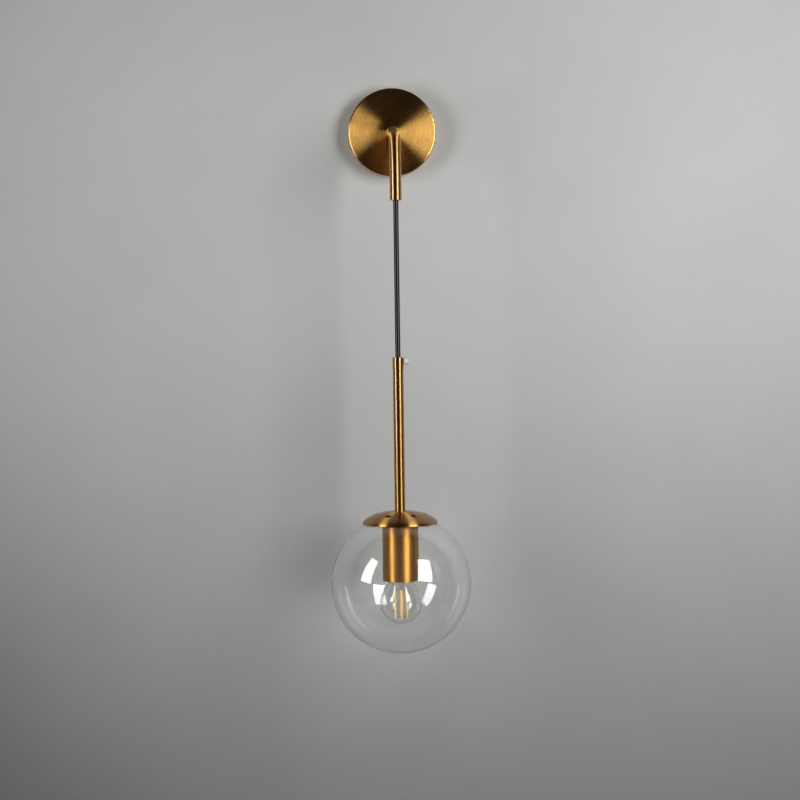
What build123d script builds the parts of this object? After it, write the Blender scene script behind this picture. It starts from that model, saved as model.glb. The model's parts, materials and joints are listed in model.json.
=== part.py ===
"""Globe wall sconce: round canopy, bent arm, taut cord and a vented dome cap with a glass globe.

Millimetres. The origin is the centre of the canopy's footprint on the wall. The wall is the
plane y = 0, the light stands out towards -Y, +Z is up and +X is to the right seen from the front.
"""
from build123d import *
import os
from math import asin, cos, pi, radians, sin, sqrt

os.makedirs("parts", exist_ok=True)

# ---------------------------------------------------------------- clearances
FIT = 0.05             # radial gap of a screwed or pressed round fit
LOOSE = 0.3            # gap between faces of pieces that move on each other

# ---------------------------------------------------------------- canopy and wall plate
CANOPY_D = 97.0
CANOPY_DEPTH = 20.0
CANOPY_WALL = 1.2
CANOPY_EDGE_R = 2.0
PLATE_D = 84.0
PLATE_T = 1.5
CABLE_HOLE_D = 16.0
SLOT_SPACING = 60.0
SLOT_LENGTH = 9.0
SLOT_WIDTH = 4.5
EAR_WIDTH = 12.0
EAR_DEPTH = 14.0
SIDE_SCREW_Y = 9.0     # distance of the side screws from the wall
SIDE_SCREW_D = 4.0
SIDE_SCREW_LENGTH = 5.0
SIDE_SCREW_HEX = 2.0

# ---------------------------------------------------------------- arm
ARM_D = 12.6
ARM_WALL = 1.05
ARM_REACH = 110.0      # wall to the hanging line
ARM_DROP = 80.0        # canopy centre down to the arm's open end
ARM_ROOT_RUN = 5.0     # straight run out of the canopy
ARM_DROOP = 10.0       # slope of the arm before its bend, degrees
ARM_DROOP_R = 70.0
ARM_KNEE = 64.0        # slope where the tight bend meets the wide one, degrees
ARM_BEND_R = 20.0
ARM_SWEEP_R = 66.0
ARM_NIPPLE_INSERT = 4.0
ARM_NIPPLE_BORE = 7.6
ARM_NUT_AF = 16.0
ARM_NUT_T = 4.0
ARM_WASHER_D = 20.0
ARM_WASHER_T = 1.2
NIPPLE_STAND_OUT = 1.2

# ---------------------------------------------------------------- wiring in the canopy
BLOCK_PITCH = 9.0
BLOCK_HEIGHT = 16.0
BLOCK_DEPTH = 11.0
BLOCK_Z = 18.0         # lower face of the terminal block
BLOCK_BASE_T = 3.0
BLOCK_SCREW_D = 3.6
BLOCK_FIX_X = 13.0     # fixing screws off the block's middle
LEAD_D = 1.7
LEAD_SPACING = 1.15
HOLDER_LEAD_D = 1.4
EARTH_SCREW_Z = -26.0
EARTH_SCREW_D = 4.0
EARTH_HEAD_D = 8.0
EARTH_HEAD_T = 2.6
TAG_T = 0.8
TAG_BARREL = 5.0

# ---------------------------------------------------------------- cord
CORD_D = 5.6
CORD_LENGTH = 166.2    # arm's open end to the top of the rod's collar
SHEATH_OUT = 1.0       # sheath that stands out of a nipple before the bare leads
PIVOT_DEPTH = 3.2      # hanging point of the cord, inside the arm's open end
BEND_PIECE_D = 5.2

# ---------------------------------------------------------------- drop rod and cord grip
COLLAR_D = 11.9
COLLAR_HEIGHT = 12.3
COLLAR_BORE_D = 6.0
COLLAR_SPIGOT = 6.0
COLLAR_EDGE = 0.5
ROD_D = 11.4
ROD_WALL = 1.2
HANG_HEIGHT = 176.8    # top of the collar down to the cap's rim
GRIP_SCREW_D = 4.0
GRIP_HEAD_D = 7.0
GRIP_HEAD_LENGTH = 5.0
GRIP_HEAD_GAP = 0.4    # between the collar's side and the screw's head
GRIP_DOWN = 4.3        # grip screw below the collar's top
GRIP_SLOT_WIDTH = 0.9
GRIP_SLOT_DEPTH = 1.3

# ---------------------------------------------------------------- dome cap
CAP_D = 80.5
CAP_HEIGHT = 13.0
CAP_LIP = 0.6
CAP_WALL = 1.0
CAP_FLAT_D = 18.0
CAP_CROWN = 14.0       # how far the flat top's level is carried on before the dome falls
CAP_SHOULDER = 5.0     # how high the lip's upright is carried on before the dome turns in
VENT_COUNT = 6
VENT_D = 6.2
VENT_CIRCLE_R = 26.5
VENT_FIRST_ANGLE = 0.0

# ---------------------------------------------------------------- clamping stack inside the cap
HEAD_NIPPLE_BORE = 7.0
HEAD_NIPPLE_INSERT = 10.0
CAP_WASHER_D = 17.0
CAP_WASHER_T = 1.0
HEAD_NUT_AF = 14.0
CAP_NUT_T = 3.0
CUP_NUT_T = 3.0

# ---------------------------------------------------------------- globe and its spring clips
GLOBE_D = 150.0
GLOBE_WALL = 2.0
GLOBE_OPENING_D = 64.0
CLIP_COUNT = 3
CLIP_FIRST_ANGLE = 90.0
CLIP_HUB_D = 30.0
CLIP_WIDTH = 9.0
CLIP_T = 0.6
CLIP_SHOULDER_R = 20.5
CLIP_DROP = 4.6        # height lost between the hub and the turn down into the opening
CLIP_HOOK = 1.8        # how far the hook reaches out past the glass opening's edge
CLIP_TAIL = 1.6

# ---------------------------------------------------------------- lampholder cup and lampholder
CUP_D = 38.6
CUP_WALL = 1.0
CUP_EDGE_R = 4.0
CUP_REACH = 61.0       # cap's rim down to the cup's mouth
HOLDER_GAP = 0.6       # between the cup's inside and the lampholder
HOLDER_WALL = 2.0
HOLDER_NECK_D = 15.0
HOLDER_NECK_LENGTH = 12.4
HOLDER_SHOULDER = 5.0
HOLDER_JOIN = 24.0     # below the rim: where the lampholder's top meets its body
HOLDER_MOUTH = 57.5    # below the rim: the lampholder body's lower end
CORE_TOP = 18.0
CORE_BOTTOM = 30.0
CORE_KEY_D = 4.0
SHELL_BORE_D = 27.0
SHELL_T = 0.4
SHELL_MOUTH = 56.0
TERMINAL_OFFSET = 8.5
TERMINAL_SIZE = 5.0
TERMINAL_HEIGHT = 4.2
TERMINAL_SCREW_D = 2.6
CONTACT_T = 0.5
CONTACT_WIDTH = 6.0

# ---------------------------------------------------------------- bulb
BULB_D = 45.0
BULB_WALL = 0.8
BULB_NECK_D = 25.0
BULB_NECK_TOP = 55.0
BULB_NECK_FOOT = 60.0  # below the rim: where the neck opens into the cone
BULB_CONE_TILT = 27.0  # slope of the cone's side off the axis, degrees
BULB_CAP_D = 26.4
BULB_CAP_WALL = 0.5
BULB_CAP_TOP = 36.0
BULB_CAP_BOTTOM = 59.5
BULB_CAP_SHOULDER_D = 21.0
BULB_CAP_SHOULDER = 3.0
BULB_TIP = 32.5
BULB_TIP_D = 9.5
BULB_TIP_T = 1.0
STEM_TIP = 69.0
STEM_FOOT = 57.0
STEM_D = 7.0
FILAMENT_COUNT = 4
FILAMENT_CIRCLE_R = 6.3
FILAMENT_D = 1.7
FILAMENT_TOP = 70.5
FILAMENT_BOTTOM = 101.5
FILAMENT_FIRST_ANGLE = 3.0
SUPPORT_WIRE_D = 0.9

# ---------------------------------------------------------------- sizes that follow
CANOPY_R = CANOPY_D / 2
CANOPY_INNER_Y = CANOPY_DEPTH - CANOPY_WALL
ARM_BORE_R = ARM_D / 2 - ARM_WALL
ARM_NIPPLE_R = ARM_BORE_R - FIT
CORD_R = CORD_D / 2
COLLAR_TOP_Z = -ARM_DROP - CORD_LENGTH
RIM_Z = COLLAR_TOP_Z - HANG_HEIGHT
PIVOT_Z = -ARM_DROP + PIVOT_DEPTH
ROD_BORE_R = ROD_D / 2 - ROD_WALL
HEAD_NIPPLE_R = ROD_BORE_R - FIT
CAP_R = CAP_D / 2
CAP_FLAT_R = CAP_FLAT_D / 2
GLOBE_R = GLOBE_D / 2
GLOBE_CENTRE = -sqrt((GLOBE_R + LOOSE) ** 2 - (CAP_R - CAP_WALL) ** 2)
CAP_UNDERSIDE = CAP_HEIGHT - CAP_WALL
CAP_NUT_TOP = CAP_UNDERSIDE - CAP_WASHER_T
CLIP_TOP = CAP_NUT_TOP - CAP_NUT_T
CUP_TOP = CLIP_TOP - CLIP_T
CUP_NUT_TOP = CUP_TOP - CUP_WALL
HOLDER_TOP = CUP_NUT_TOP - CUP_NUT_T
HOLDER_R = CUP_D / 2 - CUP_WALL - HOLDER_GAP
HOLDER_BORE_R = HOLDER_R - HOLDER_WALL
NECK_END = HOLDER_TOP - HOLDER_NECK_LENGTH
HEAD_NIPPLE_END = NECK_END + 1.5
CONE_ACROSS = cos(radians(BULB_CONE_TILT))
CONE_ALONG = sin(radians(BULB_CONE_TILT))
BULB_CENTRE = BULB_NECK_FOOT + (BULB_D - BULB_NECK_D * CONE_ACROSS) / (2 * CONE_ALONG)
TAG_LEAD_OUT = PLATE_T + TAG_T / 2 + LEAD_D / 2 + FIT + TAG_T

# The hanging parts are drawn about the Z axis with the cap's rim at height 0, then moved here.
HANG = Pos(0, -ARM_REACH, RIM_Z)
HANG_LINE = Pos(0, -ARM_REACH, 0)
# Side view of the arm: first axis out from the wall, second axis up.
SIDE = Plane(origin=(0, 0, 0), x_dir=(0, -1, 0), z_dir=(-1, 0, 0))
# Drawing plane of turned profiles: first axis is the radius, second the height.
TURN = Plane.XZ


def write(name, shape):
    """Save one piece, or one group of like pieces, as its own node."""
    export_step(shape, f"parts/{name}.step")


def turned(*lines):
    """Solid of revolution about Z of a closed outline of lines and arcs."""
    return revolve(TURN * make_face(Curve() + list(lines)), Axis.Z, 360)


def turned_points(*points):
    """Solid of revolution about Z of a straight-sided outline given as radius, height pairs."""
    return turned(Polyline(*points, close=True))


def ring(outer_r, inner_r, bottom, top):
    """Plain ring or tube about Z."""
    return turned_points((inner_r, bottom), (outer_r, bottom), (outer_r, top), (inner_r, top))


def hex_nut(across_flats, bore_r, bottom, top):
    """Hexagon nut about Z with its corners turned off at both faces."""
    corner_r = across_flats / sqrt(3)
    cut = corner_r - across_flats / 2
    body = extrude(Pos(0, 0, bottom) * RegularPolygon(corner_r, 6), top - bottom)
    blank = turned_points(
        (bore_r, bottom), (corner_r - cut, bottom), (corner_r, bottom + cut / 2),
        (corner_r, top - cut / 2), (corner_r - cut, top), (bore_r, top),
    )
    return body & blank


def on_sphere(radius, centre_z, at_r):
    """Upper point at a given distance from the axis on a sphere about the axis."""
    return (at_r, centre_z + sqrt(radius ** 2 - at_r ** 2))


def strip(points, thickness, width):
    """Flat spring strip of constant thickness, bent along points given as radius, height pairs."""
    return extrude(TURN * trace(Polyline(*points), thickness), width / 2, both=True)


def all_round(count, first_angle, shape):
    """Copies of a shape turned evenly about Z."""
    return [Rot(0, 0, first_angle + 360 * k / count) * shape for k in range(count)]


def wire_along(points, diameter, radius):
    """Round wire along straight runs joined by tangent arcs."""
    path = FilletPolyline(*points, radius=radius)
    return sweep(Plane(path ^ 0) * Circle(diameter / 2), path=path)


def turned_to_wall(shape):
    """Turn a piece drawn up the Z axis so that it stands out from the wall along -Y."""
    return Rot(90, 0, 0) * shape


# ================================================================ wall plate and canopy
def wall_plate():
    """Steel plate with two screw slots, a cable hole and two folded ears for the side screws."""
    ear_out = CANOPY_R - CANOPY_WALL - LOOSE
    # the ear's corners stay inside the round canopy
    ear_x = sqrt(ear_out ** 2 - (EAR_WIDTH / 2) ** 2)
    face = Circle(PLATE_D / 2) + Rectangle(2 * ear_x, EAR_WIDTH)
    face -= Circle(CABLE_HOLE_D / 2)
    face -= Pos(0, EARTH_SCREW_Z) * Circle(EARTH_SCREW_D / 2)
    face -= Locations(
        (-SLOT_SPACING / 2, 0), (SLOT_SPACING / 2, 0)
    ) * SlotOverall(SLOT_LENGTH, SLOT_WIDTH)
    face -= Locations(*block_screw_places()) * Circle(BLOCK_SCREW_D / 2)
    plate = turned_to_wall(extrude(face, PLATE_T))
    for side in (-1, 1):
        ear = Box(PLATE_T, EAR_DEPTH, EAR_WIDTH, align=(Align.MAX, Align.MAX, Align.CENTER))
        ear = Pos(ear_x, 0, 0) * ear
        ear -= Pos(ear_x, -SIDE_SCREW_Y, 0) * Rot(0, 90, 0) * Cylinder(
            SIDE_SCREW_D / 2 + FIT, 4 * PLATE_T)
        front = ear.edges().filter_by(Axis.X).group_by(Axis.Y)[0]
        ear = fillet(front, EAR_WIDTH / 4)
        plate += ear if side > 0 else mirror(ear, Plane.YZ)
    return plate


def block_screw_places():
    """Places of the terminal block's two fixing screws, as X and Z."""
    return [(side * BLOCK_FIX_X, BLOCK_Z + BLOCK_HEIGHT / 2) for side in (-1, 1)]


def canopy_cover():
    """Spun cover, open at the wall, with a rounded front edge and a centre hole for the nipple."""
    inner_r = CANOPY_R - CANOPY_WALL
    edge = CANOPY_EDGE_R
    inner_edge = edge - CANOPY_WALL if edge > CANOPY_WALL else 0.1
    hole_r = ARM_NIPPLE_R + FIT
    front = CANOPY_DEPTH
    cover = turned(
        Line((inner_r, 0), (CANOPY_R, 0)),
        Line((CANOPY_R, 0), (CANOPY_R, front - edge)),
        RadiusArc((CANOPY_R, front - edge), (CANOPY_R - edge, front), -edge),
        Line((CANOPY_R - edge, front), (hole_r, front)),
        Line((hole_r, front), (hole_r, CANOPY_INNER_Y)),
        Line((hole_r, CANOPY_INNER_Y), (inner_r - inner_edge, CANOPY_INNER_Y)),
        RadiusArc((inner_r - inner_edge, CANOPY_INNER_Y), (inner_r, CANOPY_INNER_Y - inner_edge),
                  inner_edge),
        Line((inner_r, CANOPY_INNER_Y - inner_edge), (inner_r, 0)),
    )
    cover = turned_to_wall(cover)
    side_hole = Pos(0, -SIDE_SCREW_Y, 0) * Rot(0, 90, 0) * Cylinder(
        SIDE_SCREW_D / 2 + FIT, CANOPY_D + 2 * CANOPY_WALL)
    return cover - side_hole


def canopy_side_screws():
    """Two grub screws with hexagon sockets, flush with the canopy's side."""
    flush = sqrt(CANOPY_R ** 2 - (SIDE_SCREW_D / 2) ** 2)
    screw = Cylinder(SIDE_SCREW_D / 2, SIDE_SCREW_LENGTH, align=(Align.CENTER, Align.CENTER, Align.MAX))
    socket = Pos(0, 0, -SIDE_SCREW_LENGTH / 2) * extrude(
        RegularPolygon(SIDE_SCREW_HEX / sqrt(3), 6), SIDE_SCREW_LENGTH)
    screw = Pos(flush, -SIDE_SCREW_Y, 0) * Rot(0, 90, 0) * (screw - socket)
    return Compound(children=[screw, mirror(screw, Plane.YZ)])


# ================================================================ arm
def arm_line(start_out, end_down):
    """Centre line of the arm from a distance off the wall down to a height on the hanging line."""
    droop = radians(ARM_DROOP)
    knee = radians(ARM_KNEE)
    root_end = CANOPY_DEPTH + ARM_ROOT_RUN
    rounded = (ARM_DROOP_R * sin(droop) + ARM_BEND_R * (sin(knee) - sin(droop))
               + ARM_SWEEP_R * (1 - sin(knee)))
    slope_run = (ARM_REACH - root_end - rounded) / cos(droop)
    root = Line((start_out, 0), (root_end, 0))
    ease = JernArc(root @ 1, root % 1, ARM_DROOP_R, -ARM_DROOP)
    slope = PolarLine(ease @ 1, slope_run, -ARM_DROOP)
    bend = JernArc(slope @ 1, slope % 1, ARM_BEND_R, ARM_DROOP - ARM_KNEE)
    swoop = JernArc(bend @ 1, bend % 1, ARM_SWEEP_R, ARM_KNEE - 90)
    fall = Line(swoop @ 1, (ARM_REACH, -end_down))
    return SIDE * Wire([root.edge(), ease.edge(), slope.edge(), bend.edge(), swoop.edge(), fall.edge()])


def along_arm(start_out, end_down, radius):
    """Round rod that follows the arm's centre line."""
    path = arm_line(start_out, end_down)
    return sweep(Plane(path ^ 0) * Circle(radius), path=path)


def arm_tube():
    """Bent tube, square cut at both ends."""
    outside = along_arm(CANOPY_DEPTH, ARM_DROP, ARM_D / 2)
    return outside - along_arm(CANOPY_DEPTH, ARM_DROP, ARM_BORE_R)


ARM_WASHER_Y = CANOPY_INNER_Y - ARM_WASHER_T
ARM_NUT_Y = ARM_WASHER_Y - ARM_NUT_T
ARM_NIPPLE_Y = ARM_NUT_Y - NIPPLE_STAND_OUT
SHEATH_Y = ARM_NIPPLE_Y - SHEATH_OUT


def arm_clamp():
    """Nipple, washer and nut that clamp the arm to the canopy's front."""
    nipple = ring(ARM_NIPPLE_R, ARM_NIPPLE_BORE / 2, ARM_NIPPLE_Y, CANOPY_DEPTH + ARM_NIPPLE_INSERT)
    washer = ring(ARM_WASHER_D / 2, ARM_NIPPLE_R + FIT, ARM_WASHER_Y, CANOPY_INNER_Y)
    nut = hex_nut(ARM_NUT_AF, ARM_NIPPLE_R + FIT, ARM_NUT_Y, ARM_WASHER_Y)
    return [turned_to_wall(piece) for piece in (nipple, washer, nut)]


# ================================================================ wiring in the canopy
def terminal_block():
    """Moulded two-way block with raised screw towers, lead holes and fixing holes."""
    width = 2 * (BLOCK_FIX_X + BLOCK_SCREW_D)
    tower_d = BLOCK_PITCH - 1.5
    low = Align.MIN
    block = Box(width, BLOCK_HEIGHT, BLOCK_BASE_T, align=(Align.CENTER, Align.CENTER, low))
    for x in (-BLOCK_PITCH / 2, BLOCK_PITCH / 2):
        tower = Box(tower_d, BLOCK_HEIGHT, BLOCK_DEPTH, align=(Align.CENTER, Align.CENTER, low))
        tower = fillet(tower.edges().filter_by(Axis.Y).group_by(Axis.Z)[-1], 1.2)
        block += Pos(x, 0, 0) * tower
        block -= Pos(x, 0, BLOCK_DEPTH / 2) * Rot(90, 0, 0) * Cylinder(LEAD_D / 2 + 0.4, 2 * BLOCK_HEIGHT)
        block -= Locations((x, -BLOCK_HEIGHT / 4, BLOCK_DEPTH), (x, BLOCK_HEIGHT / 4, BLOCK_DEPTH)
                           ) * Cylinder(BLOCK_SCREW_D / 2 + FIT, BLOCK_DEPTH)
    block -= Locations((-BLOCK_FIX_X, 0), (BLOCK_FIX_X, 0)) * Cylinder(
        BLOCK_SCREW_D / 2 + FIT, 4 * BLOCK_BASE_T)
    return Pos(0, -PLATE_T, BLOCK_Z + BLOCK_HEIGHT / 2) * turned_to_wall(block)


def terminal_block_screws():
    """Four clamping screws in the towers and two fixing screws through the base."""
    radius = BLOCK_SCREW_D / 2
    clamp = slotted_screw(radius, BLOCK_DEPTH / 2 + LEAD_D / 2 + FIT, BLOCK_DEPTH - 0.6)
    fixing = slotted_screw(radius, -PLATE_T, BLOCK_BASE_T)
    fixing += slotted_screw(radius + 0.9, BLOCK_BASE_T, BLOCK_BASE_T + 1.6)
    screws = [Pos(x, y, 0) * clamp for x in (-BLOCK_PITCH / 2, BLOCK_PITCH / 2)
              for y in (-BLOCK_HEIGHT / 4, BLOCK_HEIGHT / 4)]
    screws += [Pos(x, 0, 0) * fixing for x in (-BLOCK_FIX_X, BLOCK_FIX_X)]
    place = Pos(0, -PLATE_T, BLOCK_Z + BLOCK_HEIGHT / 2)
    return Compound(children=[place * turned_to_wall(screw) for screw in screws])


def slotted_screw(radius, bottom, top):
    """Headless screw about Z with a slot across its top."""
    screw = Pos(0, 0, bottom) * Cylinder(radius, top - bottom, align=(Align.CENTER, Align.CENTER, Align.MIN))
    slot = Box(3 * radius, radius / 2, radius, align=(Align.CENTER, Align.CENTER, Align.CENTER))
    return screw - Pos(0, 0, top) * slot


def earth_screw():
    """Pan-head earth screw in the plate."""
    seat = PLATE_T + TAG_T
    screw = slotted_screw(EARTH_HEAD_D / 2, seat, seat + EARTH_HEAD_T)
    screw += ring_rod(EARTH_SCREW_D / 2 - FIT, 0, seat)
    return Pos(0, 0, EARTH_SCREW_Z) * turned_to_wall(screw)


def ring_rod(radius, bottom, top):
    """Plain round rod about Z."""
    return Pos(0, 0, bottom) * Cylinder(radius, top - bottom, align=(Align.CENTER, Align.CENTER, Align.MIN))


def earth_tag():
    """Ring tag under the earth screw with a crimped barrel for the lead."""
    barrel_r = LEAD_D / 2 + FIT + TAG_T
    face = Circle(EARTH_HEAD_D / 2) + Rectangle(
        2 * barrel_r, EARTH_HEAD_D / 2 + TAG_BARREL, align=(Align.CENTER, Align.MIN))
    tag = extrude(face - Circle(EARTH_SCREW_D / 2), TAG_T)
    barrel = Rot(-90, 0, 0) * ring(barrel_r, LEAD_D / 2 + FIT, 0, TAG_BARREL)
    tag += Pos(0, EARTH_HEAD_D / 2, TAG_LEAD_OUT - PLATE_T) * barrel
    return Pos(0, -PLATE_T, EARTH_SCREW_Z) * turned_to_wall(tag)


def cord_leads():
    """Two leads from the cord's sheath to the terminal block."""
    across = -PLATE_T - BLOCK_DEPTH / 2
    leads = []
    for side in (-1, 1):
        points = [
            (side * LEAD_SPACING, -SHEATH_Y, LEAD_SPACING / 2),
            (side * LEAD_SPACING, across + LEAD_D / 2, LEAD_SPACING / 2),
            (side * BLOCK_PITCH / 2, across, BLOCK_Z / 2),
            (side * BLOCK_PITCH / 2, across, BLOCK_Z + BLOCK_HEIGHT / 2),
        ]
        leads.append(wire_along(points, LEAD_D, 0.45 * (SHEATH_Y + across)))
    return Compound(children=leads)


def earth_lead():
    """Lead from the cord's sheath to the earth tag."""
    tag_mouth = EARTH_SCREW_Z + EARTH_HEAD_D / 2 + TAG_BARREL
    points = [
        (0, -SHEATH_Y, -LEAD_SPACING),
        (0, -TAG_LEAD_OUT - LEAD_D, -LEAD_SPACING),
        (0, -TAG_LEAD_OUT, tag_mouth + 3 * LEAD_D),
        (0, -TAG_LEAD_OUT, tag_mouth - TAG_BARREL / 2),
    ]
    return wire_along(points, LEAD_D, 1.2 * LEAD_D)


# ================================================================ cord
def cord_in_arm():
    """Cord from the canopy through nipple and arm to just above its hanging point."""
    return along_arm(SHEATH_Y, -PIVOT_Z - BEND_PIECE_D / 2, CORD_R)


def cord_bend():
    """Short stretch of cord that flexes just inside the arm's open end, a ball so that it can turn."""
    return HANG_LINE * Pos(0, 0, PIVOT_Z) * Sphere(BEND_PIECE_D / 2)


def cord():
    """Free stretch of cord, pulled straight by the globe's weight."""
    return HANG_LINE * ring_rod(CORD_R, COLLAR_TOP_Z, PIVOT_Z - BEND_PIECE_D / 2)


def cord_in_rod():
    """Cord from the collar's top through the rod and the nipple into the lampholder."""
    return HANG * ring_rod(CORD_R, HEAD_NIPPLE_END - SHEATH_OUT, HANG_HEIGHT)


# ================================================================ cord grip and rod
ROD_TOP = HANG_HEIGHT - COLLAR_HEIGHT
GRIP_Z = HANG_HEIGHT - GRIP_DOWN


def rod_collar():
    """Collar with a spigot in the rod's top and a tapped side hole for the grip screw."""
    bore_r = COLLAR_BORE_D / 2
    outer_r = COLLAR_D / 2
    spigot_r = ROD_BORE_R - FIT
    collar = turned_points(
        (bore_r, ROD_TOP - COLLAR_SPIGOT), (spigot_r, ROD_TOP - COLLAR_SPIGOT), (spigot_r, ROD_TOP),
        (outer_r, ROD_TOP), (outer_r, HANG_HEIGHT - COLLAR_EDGE), (outer_r - COLLAR_EDGE, HANG_HEIGHT),
        (bore_r, HANG_HEIGHT),
    )
    side_hole = Pos(0, 0, GRIP_Z) * Rot(0, 90, 0) * ring_rod(GRIP_SCREW_D / 2 + FIT, 0, COLLAR_D)
    return HANG * (collar - side_hole)


def grip_screw():
    """Screw through the collar's side that holds the cord, with a slotted round head."""
    head_start = COLLAR_D / 2 + GRIP_HEAD_GAP
    head_end = head_start + GRIP_HEAD_LENGTH
    head_r = GRIP_HEAD_D / 2
    tip = CORD_R + 2 * FIT
    shank_r = GRIP_SCREW_D / 2
    edge = COLLAR_EDGE
    screw = turned_points(
        (0, tip), (shank_r - edge, tip), (shank_r, tip + edge), (shank_r, head_start),
        (head_r, head_start), (head_r, head_end - edge), (head_r - edge, head_end), (0, head_end),
    )
    screw -= Pos(0, 0, head_end) * Box(2 * GRIP_HEAD_D, GRIP_SLOT_WIDTH, 2 * GRIP_SLOT_DEPTH)
    return HANG * Pos(0, 0, GRIP_Z) * Rot(0, 90, 0) * screw


def drop_rod():
    """Tube between the collar and the cap."""
    return HANG * ring(ROD_D / 2, ROD_BORE_R, CAP_HEIGHT, ROD_TOP)


# ================================================================ dome cap and its clamping stack
def dome_cap():
    """Shallow spun dome with a flat top for the rod, six vents and a short upright lip."""
    hole_r = HEAD_NIPPLE_R + FIT
    lip_r = CAP_R - CAP_WALL
    crown_r = CAP_FLAT_R + CAP_CROWN
    shoulder = CAP_LIP + CAP_SHOULDER
    edge = CAP_WALL * 0.4
    outer = Bezier((CAP_FLAT_R, CAP_HEIGHT), (crown_r, CAP_HEIGHT), (CAP_R, shoulder), (CAP_R, CAP_LIP))
    under = Bezier((lip_r, CAP_LIP), (lip_r, shoulder - CAP_WALL), (crown_r, CAP_UNDERSIDE),
                   (CAP_FLAT_R, CAP_UNDERSIDE))
    cap = turned(
        Polyline((hole_r, CAP_UNDERSIDE), (hole_r, CAP_HEIGHT), outer @ 0),
        outer,
        Polyline(outer @ 1, (CAP_R, edge), (CAP_R - edge, 0), (lip_r, 0), under @ 0),
        under,
        Line(under @ 1, (hole_r, CAP_UNDERSIDE)),
    )
    vents = PolarLocations(VENT_CIRCLE_R, VENT_COUNT, VENT_FIRST_ANGLE) * Cylinder(
        VENT_D / 2, 2 * CAP_HEIGHT)
    return HANG * (cap - vents)


def head_nipple():
    """Hollow threaded rod that ties the drop rod, cap, clip, cup and lampholder together."""
    return HANG * ring(HEAD_NIPPLE_R, HEAD_NIPPLE_BORE / 2, HEAD_NIPPLE_END,
                       CAP_HEIGHT + HEAD_NIPPLE_INSERT)


def clamp_ring(across_flats, bottom, top):
    """Nut on the head nipple."""
    return HANG * hex_nut(across_flats, HEAD_NIPPLE_R + FIT, bottom, top)


# Centre of the rounded edge of the glass at its opening.
EDGE_R = GLOBE_OPENING_D / 2 + GLOBE_WALL / 2
EDGE_Z = on_sphere(GLOBE_R - GLOBE_WALL / 2, GLOBE_CENTRE, EDGE_R)[1]


def globe_clip():
    """Sprung hub with three bent leaves that hook under the edge of the glass from inside."""
    leaf_z = CLIP_TOP - CLIP_T / 2
    turn_r = GLOBE_OPENING_D / 2 - LOOSE - CLIP_T
    # the leaf's 45 degree slope passes the rounded glass edge with the loose gap
    reach = GLOBE_WALL / 2 + LOOSE + CLIP_T / 2
    slope_sum = EDGE_R + EDGE_Z - reach * sqrt(2)
    hook_r = GLOBE_OPENING_D / 2 + CLIP_HOOK
    leaf = strip(
        [
            (CLIP_HUB_D / 2 - 2 * CLIP_T, leaf_z), (CLIP_SHOULDER_R, leaf_z),
            (turn_r, leaf_z - CLIP_DROP), (turn_r, slope_sum - turn_r),
            (hook_r, slope_sum - hook_r),
            (hook_r - CLIP_HOOK, slope_sum - hook_r - CLIP_TAIL),
        ],
        CLIP_T, CLIP_WIDTH,
    )
    clip = ring(CLIP_HUB_D / 2, HEAD_NIPPLE_R + FIT, CUP_TOP, CLIP_TOP)
    for copy in all_round(CLIP_COUNT, CLIP_FIRST_ANGLE, leaf):
        clip += copy
    return HANG * clip


# ================================================================ globe
def glass_globe():
    """Blown sphere with an opening at the top whose edge is fire-polished round."""
    outer_r = GLOBE_R
    inner_r = GLOBE_R - GLOBE_WALL
    middle_r = GLOBE_R - GLOBE_WALL / 2
    tilt = asin(EDGE_R / middle_r)

    def at(radius, angle):
        return (radius * sin(angle), GLOBE_CENTRE + radius * cos(angle))

    edge_out = at(outer_r, tilt)
    edge_in = at(inner_r, tilt)
    edge_top = (EDGE_R - GLOBE_WALL / 2 * cos(tilt), EDGE_Z + GLOBE_WALL / 2 * sin(tilt))
    half = (pi + tilt) / 2
    globe = turned(
        ThreePointArc(at(outer_r, pi), at(outer_r, half), edge_out),
        ThreePointArc(edge_out, edge_top, edge_in),
        ThreePointArc(edge_in, at(inner_r, half), at(inner_r, pi)),
        Line(at(inner_r, pi), at(outer_r, pi)),
    )
    return HANG * globe


# ================================================================ lampholder cup and lampholder
def lampholder_cup():
    """Spun cup, closed round the nipple at the top and open below."""
    outer_r = CUP_D / 2
    inner_r = outer_r - CUP_WALL
    hole_r = HEAD_NIPPLE_R + FIT
    corner = CUP_EDGE_R
    inner_corner = CUP_EDGE_R - CUP_WALL if CUP_EDGE_R > CUP_WALL else FIT
    mouth = -CUP_REACH
    edge = CUP_WALL * 0.3
    cup = turned(
        Polyline((hole_r, CUP_NUT_TOP), (hole_r, CUP_TOP), (outer_r - corner, CUP_TOP)),
        RadiusArc((outer_r - corner, CUP_TOP), (outer_r, CUP_TOP - corner), corner),
        Polyline((outer_r, CUP_TOP - corner), (outer_r, mouth + edge), (outer_r - edge, mouth),
                 (inner_r, mouth), (inner_r, CUP_NUT_TOP - inner_corner)),
        RadiusArc((inner_r, CUP_NUT_TOP - inner_corner), (inner_r - inner_corner, CUP_NUT_TOP),
                  -inner_corner),
        Line((inner_r - inner_corner, CUP_NUT_TOP), (hole_r, CUP_NUT_TOP)),
    )
    return HANG * cup


def holder_top():
    """Lampholder's threaded top, a neck that widens into a skirt."""
    hole_r = HEAD_NIPPLE_R + FIT
    neck_r = HOLDER_NECK_D / 2
    return HANG * turned_points(
        (hole_r, HOLDER_TOP), (neck_r, HOLDER_TOP), (neck_r, NECK_END + HOLDER_WALL),
        (HOLDER_R, NECK_END + HOLDER_WALL - HOLDER_SHOULDER), (HOLDER_R, -HOLDER_JOIN),
        (HOLDER_BORE_R, -HOLDER_JOIN), (HOLDER_BORE_R, NECK_END - HOLDER_SHOULDER), (hole_r, NECK_END),
    )


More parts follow.
